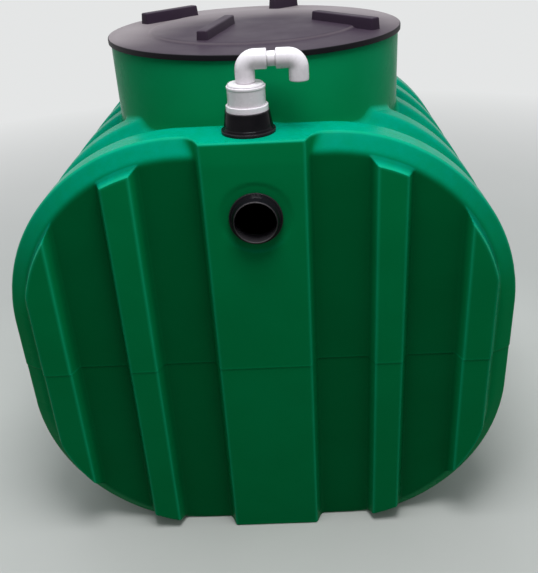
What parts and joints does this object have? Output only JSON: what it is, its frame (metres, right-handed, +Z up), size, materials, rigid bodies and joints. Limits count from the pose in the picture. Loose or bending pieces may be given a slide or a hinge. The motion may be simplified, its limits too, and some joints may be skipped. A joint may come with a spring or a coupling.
{
  "type": "grease trap",
  "caption": "Ribbed green plastic grease trap tank with a round lift-off manhole lid, a rubber pipe grommet in each end and a white gooseneck vent.",
  "frame": {"origin": "on the ground under the middle of the tank", "axes": "-Y out through the front end with the vent, +X to the right seen from the front, +Z up through the manhole"},
  "size_m": [0.98, 0.865, 1.023],
  "materials": {
    "tank_plastic": "semi-gloss moulded green plastic",
    "lid_plastic": "satin black moulded plastic",
    "grommet_rubber": "black moulded rubber",
    "white_pipe": "white pipe plastic, slightly glossy"
  },
  "bodies": {
    "tank": {"lower_shell": "tank_plastic", "upper_shell": "tank_plastic", "front_end_lower": "tank_plastic", "front_end_upper": "tank_plastic", "rear_end_lower": "tank_plastic", "rear_end_upper": "tank_plastic", "manhole_neck": "tank_plastic", "front_port_grommet": "grommet_rubber", "rear_port_grommet": "grommet_rubber", "vent_grommet": "grommet_rubber", "vent_stub_pipe": "white_pipe", "vent_coupling": "white_pipe", "vent_reducing_bush": "white_pipe", "vent_riser_pipe": "white_pipe", "vent_elbow_lower": "white_pipe", "vent_link_pipe": "white_pipe", "vent_elbow_upper": "white_pipe"},
    "lid": {"lid": "lid_plastic"}
  },
  "joints": [
    {"name": "lid_lift", "type": "slide", "parent": "tank", "child": "lid", "axis": [0, 0, 1], "range_m": [0, 0.3]}
  ]
}
